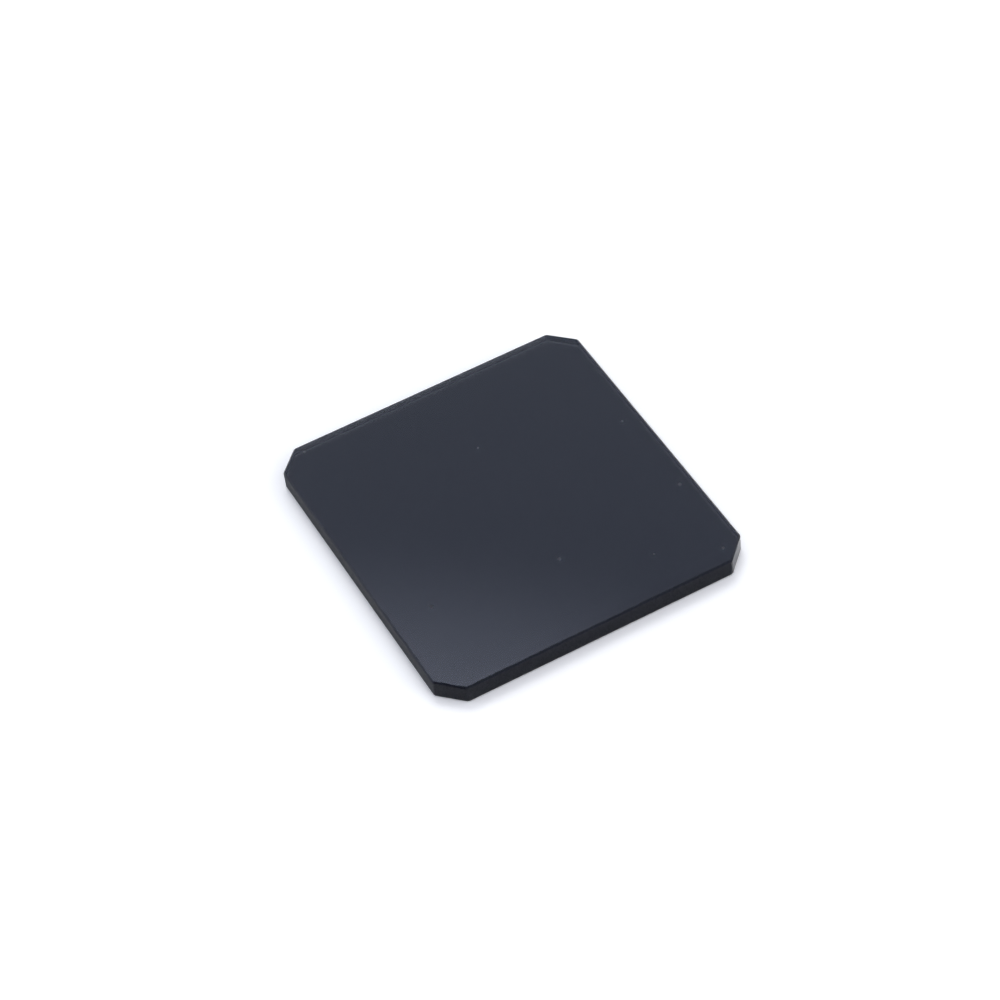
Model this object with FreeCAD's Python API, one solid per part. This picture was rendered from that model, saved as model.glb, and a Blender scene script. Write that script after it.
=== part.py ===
import FreeCAD, Part
import os

# Neutral density filter: one plate of tinted optical glass.
# A rectangle is sawn from sheet glass and its four corners are cut off, which
# leaves eight flat walls round two polished faces. Every sharp edge is then
# ground to a small flat: an ease down each of the eight upright edges, and an
# arris round both rims that runs over the walls, the cuts and the eases alike.
# Millimetres, +Z up. The origin is the middle of the face that the plate lies on.

# The sawn rectangle
plate_width = 24.0
plate_length = 26.0
plate_thickness = 1.5

# What each corner cut takes off the width and off the length
corner_cut = 1.7

# What the ease takes off each of the two walls that meet at an upright edge
upright_ease = 0.08

# What the arris takes off the face and off the wall
rim_arris = 0.12


def stands_upright(edge):
    """True for an edge that runs up the plate's thickness, False for one that lies level."""
    rise = abs(edge.tangentAt(edge.FirstParameter).z)
    return rise > 0.5


def lies_level(edge):
    """True for an edge of the top or bottom rim."""
    return not stands_upright(edge)


def grind(glass, leg, picks):
    """Grind the picked edges to flats at equal legs, mitred where they meet."""
    return glass.makeChamfer(leg, [edge for edge in glass.Edges if picks(edge)])


def filter_plate():
    """The glass, in the order it is made: sawn, corners cut, uprights eased, rims seamed."""
    corner = FreeCAD.Vector(-plate_width / 2, -plate_length / 2, 0)
    sawn = Part.makeBox(plate_width, plate_length, plate_thickness, corner)
    cut = grind(sawn, corner_cut, stands_upright)
    eased = grind(cut, upright_ease, stands_upright)
    return grind(eased, rim_arris, lies_level)


os.makedirs("parts", exist_ok=True)
filter_plate().exportStep("parts/filter_plate.step")
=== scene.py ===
import math

import bpy
from mathutils import Matrix, Vector


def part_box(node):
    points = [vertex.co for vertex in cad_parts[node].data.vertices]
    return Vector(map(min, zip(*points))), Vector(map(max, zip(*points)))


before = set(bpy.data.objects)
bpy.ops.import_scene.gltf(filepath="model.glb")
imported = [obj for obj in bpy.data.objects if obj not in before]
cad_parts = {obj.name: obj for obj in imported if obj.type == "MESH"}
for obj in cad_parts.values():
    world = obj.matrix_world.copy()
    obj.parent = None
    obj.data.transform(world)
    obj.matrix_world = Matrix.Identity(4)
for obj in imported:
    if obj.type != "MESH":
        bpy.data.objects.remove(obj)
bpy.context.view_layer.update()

# The photograph's frame, and the lens that fits the plate's edges in it
sensor_mm = 36.0
frame_px = 1000
focal_px = 3380.0

# Sizes are written in millimetres, and the scene is in metres
mm = 0.001

# The camera: the point it looks at and how far off it stands, in millimetres,
# the way it looks, in degrees from +Y towards +X and below the horizon, and its
# lean to the right about its own line of sight; then how near and how far it sees
aim_mm = (-0.074, 1.173, 0.75)
distance_mm = 236.26
look_round = 23.234
look_down = 47.727
lean = 7.406
nearest_mm = 1
farthest_mm = 10000

# The studio: a dim bluish dome, with soft boxes on it. Angles are in degrees,
# azimuth from +Y towards +X, and each box fades out from its inner to its outer
# radius. The horizon is a pale band: a box round the point straight below, so
# wide that it rises above the floor. Levels add up, and 1 all over lights a
# white floor to white.
dome_level = 0.58
dome_colour = (0.74, 0.79, 1.0)
white = (1.0, 1.0, 1.0)
pale_blue = (0.92, 0.99, 1.08)
soft_boxes = [
    # elevation, azimuth, inner, outer, level, colour
    (-90, 0, 102, 118, 0.45, white),      # the horizon
    (90, 0, 10, 42, 0.45, white),         # overhead
    (61.5, 15, 9.5, 14, 3.5, white),      # high behind
    (48, 22, 0, 25, 1.17, pale_blue),     # behind
    (14, -50, 0, 24, 1.8, pale_blue),     # behind on the left
    (15, 110, 0, 50, 0.55, white),        # on the right
    (15, 160, 0, 50, 1.15, white),        # in front on the right
]

# The floor: its hue, how light it is for the light it sheds and as it is seen,
# how far it reaches from the plate, and how far below the plate it lies
floor_hue = (1.0, 0.985, 0.93)
floor_colour = 0.8
floor_seen = 1.15
floor_reach_mm = 2000
floor_gap_mm = 0.02

# The glass: its refraction, the tint of what its surface mirrors, the share of
# light that passes straight through the plate, and the hue of that light
glass_ior = 1.52
coat_tint = (0.27, 0.30, 0.41)
dimming = 0.136
glass_hue = (0.0, 0.02, 0.06)

# The plate's flats, told apart by how level their normals are, and the corner
# cuts by the product of the normal's two level parts
polished_level = 0.9
arris_level = 0.3
corner_product = 0.1

# How rough each flat is left, from its smoothest to its roughest spots. The
# corner cuts run from coarse on the left of the plate to fine on the right.
polish_roughness = (0.015, 0.05)
wall_roughness = (0.56, 0.68)
cut_roughness = (0.62, 0.20)
arris_roughness = (0.34, 0.50)

# How much of the light inside gets out through a ground flat
wall_clarity = (0.12, 0.28)

# Smears on the polished faces, the grain of the ground flats and its height, and
# the noise that draws both: how fine it goes, and its lowest and highest values
smear_mm = 3.5
grain_mm = 0.09
grain_height_mm = 0.0015
noise_detail = 3.0
noise_range = (0.3, 0.7)

# Dust on the upper face: how far apart specks can be, the share of places that
# have one, their radius, the smallest as a part of the largest, and their height
speck_spacing_mm = 5.0
speck_share = 0.25
speck_mm = 0.18
speck_smallest = 0.5
speck_height_mm = 0.01

# How rough dust is and how much of the glass it hides, and how high up a speck
# each of these is full
speck_roughness = 0.6
speck_cover = 0.04
rough_from = 0.3
cover_from = 0.5


def way(elevation, azimuth):
    """The level or rising direction at these angles."""
    rise, turn = math.radians(elevation), math.radians(azimuth)
    level = math.cos(rise)
    return Vector((math.sin(turn) * level, math.cos(turn) * level, math.sin(rise)))


def make_camera():
    """The camera that took the photograph."""
    data = bpy.data.cameras.new("camera")
    data.sensor_width = sensor_mm
    data.lens = focal_px * sensor_mm / frame_px
    data.clip_start = nearest_mm * mm
    data.clip_end = farthest_mm * mm
    camera = bpy.data.objects.new("camera", data)
    bpy.context.scene.collection.objects.link(camera)
    ahead = way(-look_down, look_round)
    level = ahead.to_track_quat("-Z", "Y").to_matrix().to_4x4()
    place = (Vector(aim_mm) - ahead * distance_mm) * mm
    roll = Matrix.Rotation(math.radians(-lean), 4, "Z")
    camera.matrix_world = Matrix.Translation(place) @ level @ roll
    bpy.context.scene.camera = camera


def add(tree, kind, **settings):
    """A new node, with its settings."""
    node = tree.nodes.new(kind)
    for name, value in settings.items():
        setattr(node, name, value)
    return node


def put(tree, socket, value):
    """Links the value where it is another node's socket, and otherwise sets it."""
    if isinstance(value, bpy.types.NodeSocket):
        tree.links.new(value, socket)
    else:
        socket.default_value = value


def maths(tree, operation, *values):
    """The result of one sum on these values."""
    node = add(tree, "ShaderNodeMath", operation=operation)
    for socket, value in zip(node.inputs, values):
        put(tree, socket, value)
    return node.outputs[0]


def spread(tree, value, low, high, bottom=0.0, top=1.0, ramp="LINEAR"):
    """The value's place between low and high, mapped to bottom and top, and held there."""
    node = add(tree, "ShaderNodeMapRange", interpolation_type=ramp)
    for name, number in zip(("Value", "From Min", "From Max", "To Min", "To Max"),
                            (value, low, high, bottom, top)):
        put(tree, node.inputs[name], number)
    return node.outputs["Result"]


def seen_share(tree):
    """1 for what is seen, by itself, mirrored or through glass, and 0 for light that bounces on."""
    path = tree.nodes.new("ShaderNodeLightPath").outputs
    mirrored = maths(tree, "MAXIMUM", path["Is Glossy Ray"], path["Is Transmission Ray"])
    return maths(tree, "MAXIMUM", path["Is Camera Ray"], mirrored)


def background(tree, colour, strength):
    """A light of one colour, of the given strength in each direction."""
    light = tree.nodes.new("ShaderNodeBackground")
    light.inputs["Color"].default_value = (*colour, 1)
    put(tree, light.inputs["Strength"], strength)
    return light


def soft_box(tree, direction, elevation, azimuth, inner, outer, level, colour):
    """A round light on the dome, full inside one radius and gone outside the other."""
    dot = add(tree, "ShaderNodeVectorMath", operation="DOT_PRODUCT")
    put(tree, dot.inputs[0], direction)
    dot.inputs[1].default_value = way(elevation, azimuth)
    nearness = dot.outputs["Value"]
    edge, full = math.cos(math.radians(outer)), math.cos(math.radians(inner))
    strength = spread(tree, nearness, edge, full, 0.0, level, "SMOOTHSTEP")
    return background(tree, colour, strength)


def make_world():
    """The dome with all its soft boxes."""
    world = bpy.data.worlds.new("studio")
    bpy.context.scene.world = world
    world.use_nodes = True
    tree = world.node_tree
    tree.nodes.clear()
    direction = tree.nodes.new("ShaderNodeTexCoord").outputs["Generated"]
    light = background(tree, dome_colour, dome_level)
    for box in soft_boxes:
        both = tree.nodes.new("ShaderNodeAddShader")
        tree.links.new(light.outputs[0], both.inputs[0])
        tree.links.new(soft_box(tree, direction, *box).outputs[0], both.inputs[1])
        light = both
    out = tree.nodes.new("ShaderNodeOutputWorld")
    tree.links.new(light.outputs[0], out.inputs["Surface"])


def make_floor():
    """A pale matt floor just under the plate."""
    mesh = bpy.data.meshes.new("floor")
    reach, below = floor_reach_mm * mm, floor_gap_mm * mm
    signs = [(-1, -1), (1, -1), (1, 1), (-1, 1)]
    corners = [(x * reach, y * reach, -below) for x, y in signs]
    mesh.from_pydata(corners, [], [range(len(corners))])
    floor = bpy.data.objects.new("floor", mesh)
    bpy.context.scene.collection.objects.link(floor)
    material = bpy.data.materials.new("floor")
    material.use_nodes = True
    tree = material.node_tree
    tree.nodes.clear()
    diffuse = tree.nodes.new("ShaderNodeBsdfDiffuse")
    hue = add(tree, "ShaderNodeVectorMath", operation="MULTIPLY")
    lightness = spread(tree, seen_share(tree), 0, 1, floor_colour, floor_seen)
    put(tree, hue.inputs[0], lightness)
    hue.inputs[1].default_value = floor_hue
    tree.links.new(hue.outputs[0], diffuse.inputs["Color"])
    out = tree.nodes.new("ShaderNodeOutputMaterial")
    tree.links.new(diffuse.outputs[0], out.inputs["Surface"])
    mesh.materials.append(material)


def parts_of(tree, vector):
    """A vector's x, y and z."""
    split = tree.nodes.new("ShaderNodeSeparateXYZ")
    tree.links.new(vector, split.inputs[0])
    return split.outputs


def sides_of(tree, coords):
    """Masks that are 1 on the ground flats, on the corner cuts, and on all that is not upright."""
    x, y, z = parts_of(tree, coords.outputs["Normal"])
    level = maths(tree, "ABSOLUTE", z)
    ground = maths(tree, "LESS_THAN", level, polished_level)
    product = maths(tree, "ABSOLUTE", maths(tree, "MULTIPLY", x, y))
    slant = maths(tree, "GREATER_THAN", product, corner_product)
    arris = maths(tree, "GREATER_THAN", level, arris_level)
    return ground, slant, arris


def cloud(tree, coords, size_mm):
    """Noise from 0 to 1 over the plate, with lumps of about the given size."""
    noise = tree.nodes.new("ShaderNodeTexNoise")
    tree.links.new(coords.outputs["Object"], noise.inputs["Vector"])
    noise.inputs["Scale"].default_value = 1 / (size_mm * mm)
    noise.inputs["Detail"].default_value = noise_detail
    return spread(tree, noise.outputs["Fac"], *noise_range)


def upper_face(tree, coords, ground):
    """1 on the polished face that looks up, and 0 elsewhere."""
    height = parts_of(tree, coords.outputs["Object"])["Z"]
    low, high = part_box("filter_plate")
    upper = maths(tree, "GREATER_THAN", height, (low[2] + high[2]) / 2)
    return maths(tree, "MULTIPLY", upper, maths(tree, "SUBTRACT", 1.0, ground))


def specks_of(tree, coords, ground):
    """A few specks of dust on the upper face: 1 at the middle of each, and 0 away from it."""
    cells = add(tree, "ShaderNodeTexVoronoi", voronoi_dimensions="2D")
    tree.links.new(coords.outputs["Object"], cells.inputs["Vector"])
    cells.inputs["Scale"].default_value = 1 / (speck_spacing_mm * mm)
    draw = tree.nodes.new("ShaderNodeSeparateColor")
    tree.links.new(cells.outputs["Color"], draw.inputs[0])
    chosen = maths(tree, "LESS_THAN", draw.outputs[0], speck_share)
    largest = speck_mm / speck_spacing_mm
    reach = spread(tree, draw.outputs[1], 0, 1, speck_smallest * largest, largest)
    away = maths(tree, "DIVIDE", cells.outputs["Distance"], reach)
    speck = maths(tree, "MAXIMUM", maths(tree, "SUBTRACT", 1.0, away), 0.0)
    dusty = maths(tree, "MULTIPLY", chosen, upper_face(tree, coords, ground))
    return maths(tree, "MULTIPLY", dusty, speck)


def finish_of(tree, coords, ground, slant, arris, grain, specks):
    """How rough the glass is, flat by flat."""
    across = parts_of(tree, coords.outputs["Object"])["X"]
    low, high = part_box("filter_plate")
    cut = spread(tree, across, low[0], high[0], *cut_roughness)
    wall = spread(tree, grain, 0, 1, *wall_roughness)
    seam = spread(tree, grain, 0, 1, *arris_roughness)
    upright = spread(tree, slant, 0, 1, wall, cut)
    edge = spread(tree, arris, 0, 1, upright, seam)
    polish = spread(tree, cloud(tree, coords, smear_mm), 0, 1, *polish_roughness)
    face = spread(tree, specks, 0, rough_from, polish, speck_roughness)
    return spread(tree, ground, 0, 1, face, edge)


def relief_of(tree, ground, grain, specks):
    """The grain of the ground flats and the dust on the upper face, as one bump in millimetres."""
    dust_height = maths(tree, "MULTIPLY", specks, speck_height_mm)
    ground_height = maths(tree, "MULTIPLY", grain, grain_height_mm)
    height = spread(tree, ground, 0, 1, dust_height, ground_height)
    bump = tree.nodes.new("ShaderNodeBump")
    bump.inputs["Distance"].default_value = mm
    tree.links.new(height, bump.inputs["Height"])
    return bump.outputs["Normal"]


def make_glass():
    """Dark glass, polished on both faces and ground round the edge, in the plate's own slot."""
    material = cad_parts["filter_plate"].material_slots[0].material
    tree = material.node_tree
    tree.nodes.clear()
    glass = tree.nodes.new("ShaderNodeBsdfPrincipled")
    glass.inputs["IOR"].default_value = glass_ior
    glass.inputs["Specular Tint"].default_value = (*coat_tint, 1)
    coords = tree.nodes.new("ShaderNodeTexCoord")
    ground, slant, arris = sides_of(tree, coords)
    grain = cloud(tree, coords, grain_mm)
    specks = specks_of(tree, coords, ground)
    finish = finish_of(tree, coords, ground, slant, arris, grain, specks)
    bare = spread(tree, specks, 0, cover_from, 1.0, 1.0 - speck_cover)
    clarity = spread(tree, grain, 0, 1, *wall_clarity)
    put(tree, glass.inputs["Roughness"], finish)
    put(tree, glass.inputs["Transmission Weight"], bare)
    put(tree, glass.inputs["Normal"], relief_of(tree, ground, grain, specks))
    put(tree, glass.inputs["Base Color"], spread(tree, ground, 0, 1, 1.0, clarity))
    absorb = tree.nodes.new("ShaderNodeVolumeAbsorption")
    absorb.inputs["Color"].default_value = (*glass_hue, 1)
    low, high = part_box("filter_plate")
    absorb.inputs["Density"].default_value = -math.log(dimming) / (high[2] - low[2])
    out = tree.nodes.new("ShaderNodeOutputMaterial")
    tree.links.new(glass.outputs[0], out.inputs["Surface"])
    tree.links.new(absorb.outputs[0], out.inputs["Volume"])


make_camera()
make_world()
make_floor()
make_glass()

view = bpy.context.scene.view_settings
view.view_transform = "Standard"
